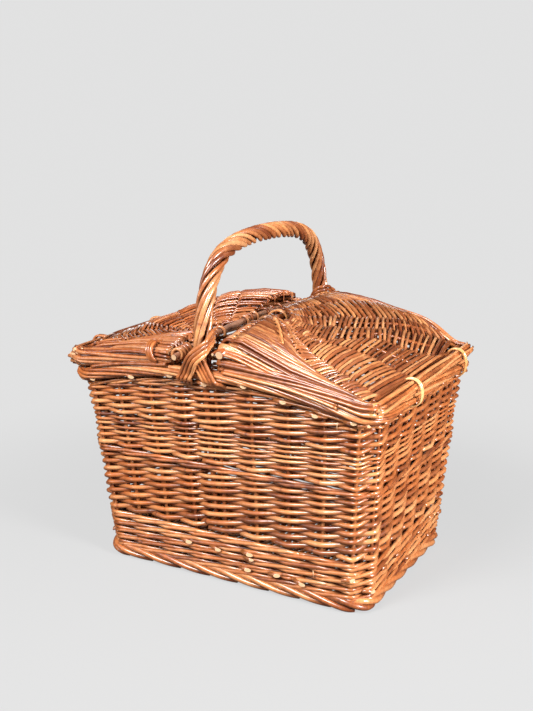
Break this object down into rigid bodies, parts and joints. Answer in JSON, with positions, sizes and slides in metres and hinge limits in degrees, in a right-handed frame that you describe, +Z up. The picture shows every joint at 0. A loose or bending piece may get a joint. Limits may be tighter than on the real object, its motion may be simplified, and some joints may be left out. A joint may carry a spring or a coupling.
{
  "type": "picnic basket",
  "caption": "Woven willow picnic basket with tapering sides, domed hinged lids that open to each end, and a roped bow handle across the middle.",
  "frame": {"origin": "middle of the basket's foot, on the surface it stands on", "axes": "+X along the long side towards the right lid, +Y from the front to the back, +Z up"},
  "size_m": [0.474, 0.38, 0.4625],
  "materials": {
    "willow": "satin",
    "dark_willow": "satin",
    "pale_willow": "satin",
    "bark_willow": "matte",
    "split_cane": "satin"
  },
  "bodies": {
    "basket": {"front_left_long_side_stake": "willow", "front_left_short_side_stake": "willow", "front_right_long_side_stake": "willow", "front_right_short_side_stake": "willow", "back_left_long_side_stake": "willow", "back_left_short_side_stake": "willow", "back_right_long_side_stake": "willow", "back_right_short_side_stake": "willow", "handle_bow": "dark_willow", "handle_rope": "willow", "rim_border": "pale_willow", "left_lid_hinge_ring_1": "split_cane", "left_lid_hinge_ring_2": "split_cane", "right_lid_hinge_ring_1": "split_cane", "right_lid_hinge_ring_2": "split_cane", "upsett_wale": "willow", "lower_siding": "willow", "middle_wale": "dark_willow", "upper_siding": "pale_willow", "top_wale": "dark_willow", "foot_border": "dark_willow", "base_stick_1": "willow", "base_stick_2": "willow", "base_stick_3": "willow", "base_stick_4": "willow", "base_stick_5": "willow", "base_weave": "willow", "front_handle_tie_rod_1": "pale_willow", "front_handle_tie_rod_2": "pale_willow", "front_handle_tie_rod_3": "pale_willow", "front_handle_tie_rod_4": "pale_willow", "back_handle_tie_rod_1": "pale_willow", "back_handle_tie_rod_2": "pale_willow", "back_handle_tie_rod_3": "pale_willow", "back_handle_tie_rod_4": "pale_willow"},
    "left_lid": {"left_lid_edge_stick": "bark_willow", "left_lid_edge_loop": "willow", "left_lid_edge_roll": "willow", "left_lid_weave": "willow", "left_lid_rib_fan": "pale_willow"},
    "right_lid": {"right_lid_edge_stick": "bark_willow", "right_lid_edge_loop": "willow", "right_lid_edge_roll": "willow", "right_lid_weave": "willow", "right_lid_rib_fan": "pale_willow", "right_lid_inner_stick": "dark_willow", "right_lid_rib_tie_1": "pale_willow", "right_lid_rib_tie_2": "pale_willow", "right_lid_rib_tie_3": "pale_willow"}
  },
  "joints": [
    {"name": "left_lid_hinge", "type": "hinge", "parent": "basket", "child": "left_lid", "pos_m": [-0.215, 0, 0.29334], "axis": [0, -0.9998, -0.0177], "range_deg": [0, 110]},
    {"name": "right_lid_hinge", "type": "hinge", "parent": "basket", "child": "right_lid", "pos_m": [0.219, 0, 0.27955], "axis": [0, 0.9998, 0.0179], "range_deg": [0, 110]}
  ]
}
